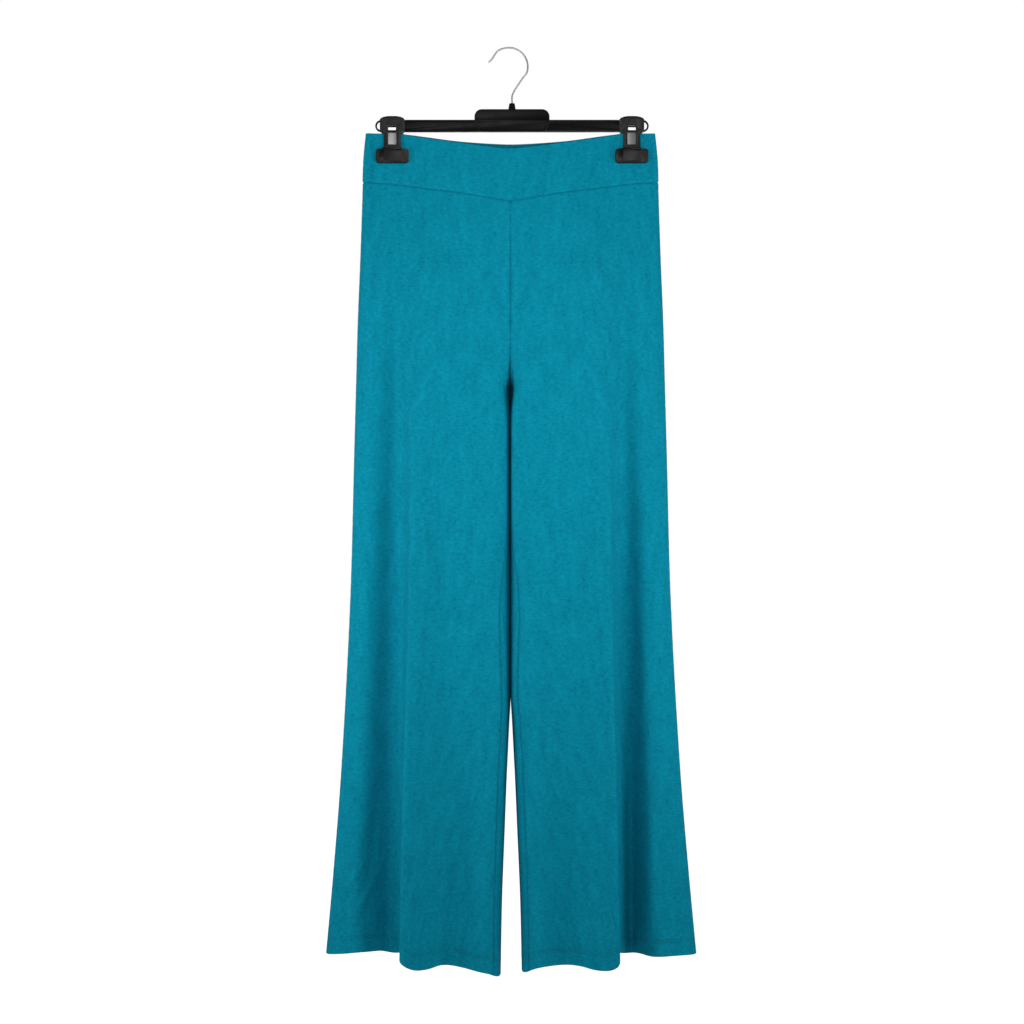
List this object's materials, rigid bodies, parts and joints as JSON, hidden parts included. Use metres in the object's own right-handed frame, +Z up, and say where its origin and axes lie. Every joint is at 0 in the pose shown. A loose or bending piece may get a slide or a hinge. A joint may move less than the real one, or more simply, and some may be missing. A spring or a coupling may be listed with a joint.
{
  "type": "wide straight-leg trousers on a clip hanger",
  "caption": "Wide straight-leg jersey trousers with a pointed pull-on waistband, hanging flat from a bar hanger with spring clips and a wire hook.",
  "frame": {"origin": "top of the hook's inside, where the rail touches the wire", "axes": "+Z up, the front of the trousers faces -Y, +X towards the wearer's left"},
  "size_m": [0.474, 0.1073, 1.1865],
  "materials": {
    "jersey": "heathered viscose jersey, matt with a faint sheen",
    "black_plastic": "black moulded plastic, satin",
    "chrome_wire": "bright plated wire",
    "spring_steel": "bright spring strip with fine brushing"
  },
  "bodies": {
    "root": {"waistband_front": "jersey", "waistband_back": "jersey", "leg_front_left": "jersey", "leg_front_right": "jersey", "leg_back_left": "jersey", "leg_back_right": "jersey", "hanger_bar": "black_plastic", "hanger_hook": "chrome_wire", "clip_left_front_jaw": "black_plastic", "clip_left_back_jaw": "black_plastic", "clip_left_spring": "spring_steel", "clip_right_front_jaw": "black_plastic", "clip_right_back_jaw": "black_plastic", "clip_right_spring": "spring_steel"}
  },
  "joints": []
}
